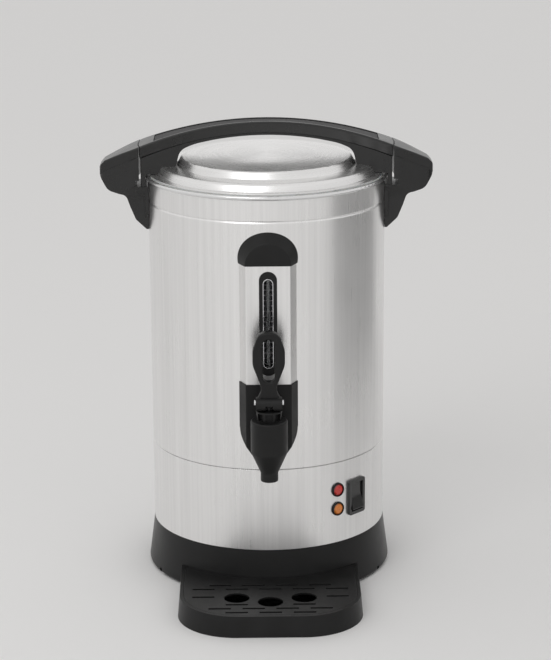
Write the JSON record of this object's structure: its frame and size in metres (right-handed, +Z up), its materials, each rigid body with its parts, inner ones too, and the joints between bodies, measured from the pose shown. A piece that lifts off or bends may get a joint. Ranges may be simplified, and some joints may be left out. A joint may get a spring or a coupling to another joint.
{
  "type": "coffee urn",
  "caption": "Double-walled steel hot-drinks urn with a lever tap, sight gauge, arched lid handle, rocker switch and drip tray.",
  "frame": {"origin": "on the urn's vertical axis, at the surface the feet stand on", "axes": "+Z up along the urn's axis, -Y towards the tap and the drip tray, +X to the right seen from the tap"},
  "size_m": [0.3164, 0.3326, 0.4382],
  "materials": {
    "steel": "satin stainless steel",
    "dark_steel": "plain steel",
    "black_moulding": "black moulded plastic, fine satin",
    "soft_black": "soft black rubber",
    "rocker_black": "glossy black",
    "silicone": "translucent silicone",
    "screw_steel": "bright plated steel",
    "stem_nylon": "nylon",
    "scale_dark": "dark strip",
    "tube_clear": "clear tube",
    "lens_red": "tinted lens",
    "lens_amber": "tinted lens",
    "heater_cast": "cast aluminium",
    "phenolic": "phenolic moulding"
  },
  "bodies": {
    "urn": {"base_skirt": "black_moulding", "base_plate": "dark_steel", "base_feet": "soft_black", "base_screws": "screw_steel", "lower_shell": "steel", "main_shell": "steel", "inner_tank": "steel", "side_grip_right": "black_moulding", "side_grip_left": "black_moulding", "side_grip_screws": "screw_steel", "gauge_channel": "steel", "gauge_cap": "black_moulding", "gauge_bezel": "black_moulding", "gauge_trim": "screw_steel", "gauge_scale": "scale_dark", "sight_tube": "tube_clear", "tube_seals": "soft_black", "gauge_fitting": "screw_steel", "tap_mount": "black_moulding", "tap_body": "black_moulding", "tap_bonnet": "black_moulding", "tap_spring": "screw_steel", "tap_gaskets": "silicone", "tap_spacer": "screw_steel", "tap_nut": "screw_steel", "switch_frame": "black_moulding", "lamp_red": "lens_red", "lamp_amber": "lens_amber", "lamp_collars": "black_moulding", "mains_inlet": "black_moulding", "inlet_blades": "screw_steel", "inlet_screws": "screw_steel", "heater_plate": "heater_cast", "heating_element": "dark_steel", "heater_bridge": "dark_steel", "tie_rod": "screw_steel", "tie_nuts": "screw_steel", "thermostat": "phenolic", "thermal_cutout": "phenolic", "terminal_block": "phenolic"},
    "lid_seal": {"lid_seal": "silicone"},
    "lid": {"lid_shell": "steel", "lid_handle": "black_moulding", "lid_grip_pad": "soft_black", "lid_screws": "screw_steel"},
    "tap_stem": {"tap_stem": "stem_nylon", "tap_valve": "silicone", "tap_pivot_pin": "screw_steel"},
    "tap_lever": {"tap_lever": "black_moulding"},
    "rocker": {"switch_rocker": "rocker_black"},
    "tray": {"drip_tray": "black_moulding"},
    "grille": {"drip_grille": "black_moulding"}
  },
  "joints": [
    {"name": "lid_lift", "type": "slide", "parent": "urn", "child": "lid_seal", "axis": [0, 0, 1], "range_m": [0, 0.2]},
    {"name": "lid_turn", "type": "hinge", "parent": "lid_seal", "child": "lid", "pos_m": [0, 0, 0.3884], "axis": [0, 0, 1], "range_deg": [0, 30]},
    {"name": "tap_stem_lift", "type": "slide", "parent": "urn", "child": "tap_stem", "axis": [0, 0, 1], "range_m": [0, 0.0038], "deforming": ["tap_spring"]},
    {"name": "tap_lever_tilt", "type": "hinge", "parent": "tap_stem", "child": "tap_lever", "pos_m": [0, -0.15, 0.2037], "axis": [1, 0, 0], "range_deg": [0, 50], "stiffness_Nm_per_rad": 0.15, "springref_deg": -11.46},
    {"name": "switch_rock", "type": "hinge", "parent": "urn", "child": "rocker", "pos_m": [0.08047, -0.07426, 0.0875], "axis": [0.6782, 0.7349, 0], "range_deg": [0, 16]},
    {"name": "tray_slide", "type": "slide", "parent": "urn", "child": "tray", "axis": [0, -1, 0], "range_m": [0, 0.1]},
    {"name": "grille_lift", "type": "slide", "parent": "tray", "child": "grille", "axis": [0, 0, 1], "range_m": [0, 0.06]}
  ],
  "couplings": [
    {"joint": "tap_stem_lift", "follows": "tap_lever_tilt", "m_per_rad": 0.00403}
  ]
}
